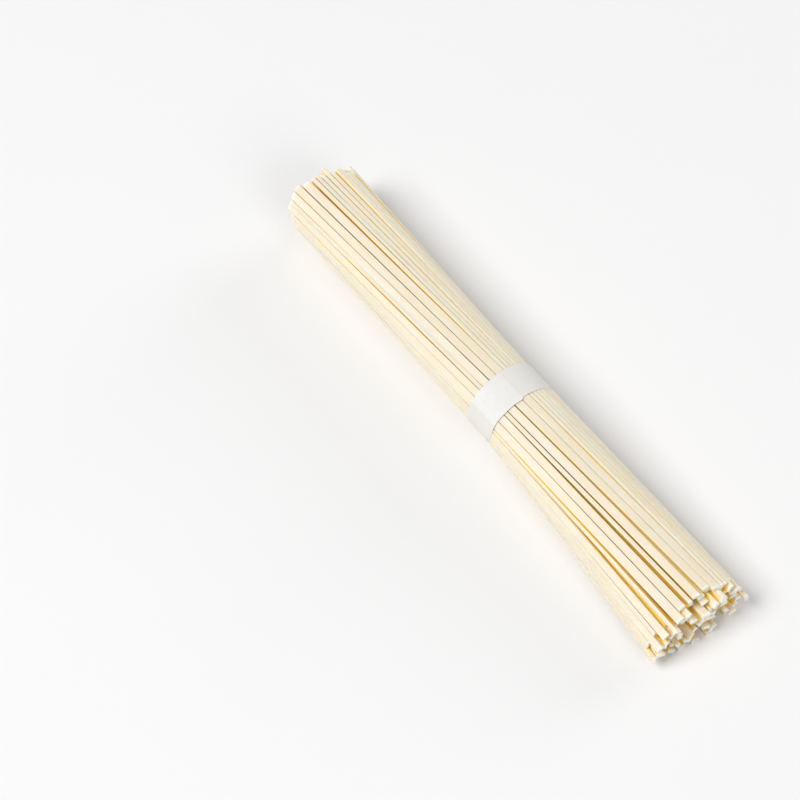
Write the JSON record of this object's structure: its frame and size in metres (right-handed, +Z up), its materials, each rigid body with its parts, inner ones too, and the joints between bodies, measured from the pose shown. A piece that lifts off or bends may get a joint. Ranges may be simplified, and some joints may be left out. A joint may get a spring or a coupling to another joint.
{
  "type": "bundle of dried udon noodles",
  "caption": "Bundle of straight, flat dried wheat noodles, held at mid-length by a plain white paper band and fanned wider towards an end, lying on its side.",
  "frame": {"origin": "on the table, under the middle of the bundle's box", "axes": "+X along the noodles towards the wider fanned end, +Z up from the table"},
  "size_m": [0.206, 0.038, 0.0276],
  "materials": {
    "noodle": "dry dough, matt and slightly see-through at its edges",
    "paper": "thin uncoated white paper"
  },
  "bodies": {
    "root": {"noodles": "noodle", "paper_band": "paper"}
  },
  "joints": []
}
